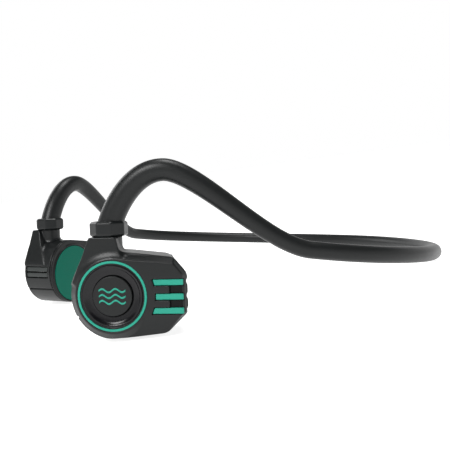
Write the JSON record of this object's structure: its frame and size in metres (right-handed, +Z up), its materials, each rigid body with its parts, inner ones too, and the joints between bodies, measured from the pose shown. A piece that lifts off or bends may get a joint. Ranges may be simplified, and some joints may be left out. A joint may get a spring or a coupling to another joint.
{
  "type": "bone conduction headphones",
  "caption": "Open-ear bone conduction headphones: two toed-in pods with round buttons and skin pads, ear hooks and a sprung neckband.",
  "frame": {"origin": "centre of the bounding box at table height, with the part lying on both pods and the back of its neckband", "axes": "+X is the wearer's left, -Y is forward to the pods, +Z is up from the table; worn, the band leans forward by 6.65 degrees more"},
  "size_m": [0.1636, 0.1538, 0.0519],
  "materials": {
    "shell": "fine satin moulded polycarbonate, charcoal",
    "cover": "smooth black",
    "seal": "soft silicone",
    "accent": "mint green satin",
    "bezel": "polished black",
    "cap": "satin charcoal with printed water symbol",
    "bars": "satin charcoal",
    "board": "green solder mask",
    "steel": "bright",
    "pad": "soft dark green silicone",
    "magnet": "nickel-plated neodymium",
    "yoke": "plated soft iron",
    "copper": "enamelled copper wire",
    "collar": "satin charcoal",
    "sleeve": "soft-touch silicone, charcoal",
    "wire": "drawn titanium alloy",
    "cable": "insulated",
    "battery": "foil pouch",
    "chip": "moulded package",
    "gold": "gold plated"
  },
  "bodies": {
    "left_half": {"left_outer_shell": "shell", "left_inner_cover": "cover", "left_cover_seal": "seal", "left_accent_ring": "accent", "left_stripe_inlays": "accent", "left_button_bezel": "bezel", "left_button_board": "board", "left_button_switch": "steel", "left_board_screws": "steel", "left_contact_pad": "pad", "left_spring_plate": "steel", "left_magnet": "magnet", "left_magnet_yoke": "yoke", "left_voice_coil": "copper", "left_edge_switches": "steel", "left_collar_ring": "collar", "left_hook_sleeve": "sleeve", "left_memory_wire": "wire", "left_signal_cable": "cable", "battery": "battery", "band_flex_sleeve": "sleeve", "band_flex_wire": "wire", "band_flex_cable": "cable"},
    "right_half": {"right_outer_shell": "shell", "right_inner_cover": "cover", "right_cover_seal": "seal", "right_accent_ring": "accent", "right_stripe_inlays": "accent", "right_button_bezel": "bezel", "right_button_board": "board", "right_button_switch": "steel", "right_board_screws": "steel", "right_contact_pad": "pad", "right_spring_plate": "steel", "right_magnet": "magnet", "right_magnet_yoke": "yoke", "right_voice_coil": "copper", "right_edge_switches": "steel", "right_collar_ring": "collar", "right_hook_sleeve": "sleeve", "right_memory_wire": "wire", "right_signal_cable": "cable", "main_board": "board", "processor": "chip", "microphone": "gold", "charging_contacts": "gold"},
    "left_cap": {"left_main_button": "cap"},
    "power_bar": {"power_button": "bars"},
    "mode_bar": {"mode_button": "bars"},
    "right_cap": {"right_main_button": "cap"},
    "volume_up_bar": {"volume_up_button": "bars"},
    "volume_down_bar": {"volume_down_button": "bars"}
  },
  "joints": [
    {"name": "neckband_flex", "type": "hinge", "parent": "left_half", "child": "right_half", "pos_m": [0, 0.07435, 0.00259], "axis": [0, -0.1158, -0.9933], "range_deg": [-8, 28], "stiffness_Nm_per_rad": 0.2, "deforming": ["band_flex_sleeve", "band_flex_wire", "band_flex_cable"]},
    {"name": "left_main_press", "type": "slide", "parent": "left_half", "child": "left_cap", "axis": [-0.8192, 0.5697, -0.0664], "range_m": [0, 0.0005], "stiffness_N_per_m": 1500, "springref_m": -0.0003},
    {"name": "right_main_press", "type": "slide", "parent": "right_half", "child": "right_cap", "axis": [0.8192, 0.5697, -0.0664], "range_m": [0, 0.0005], "stiffness_N_per_m": 1500, "springref_m": -0.0003},
    {"name": "power_press", "type": "slide", "parent": "left_half", "child": "power_bar", "axis": [0.5736, 0.8136, -0.0949], "range_m": [0, 0.0004], "stiffness_N_per_m": 1500, "springref_m": -0.0003},
    {"name": "mode_press", "type": "slide", "parent": "left_half", "child": "mode_bar", "axis": [0.5736, 0.8136, -0.0949], "range_m": [0, 0.0004], "stiffness_N_per_m": 1500, "springref_m": -0.0003},
    {"name": "volume_up_press", "type": "slide", "parent": "right_half", "child": "volume_up_bar", "axis": [-0.5736, 0.8136, -0.0949], "range_m": [0, 0.0004], "stiffness_N_per_m": 1500, "springref_m": -0.0003},
    {"name": "volume_down_press", "type": "slide", "parent": "right_half", "child": "volume_down_bar", "axis": [-0.5736, 0.8136, -0.0949], "range_m": [0, 0.0004], "stiffness_N_per_m": 1500, "springref_m": -0.0003}
  ]
}
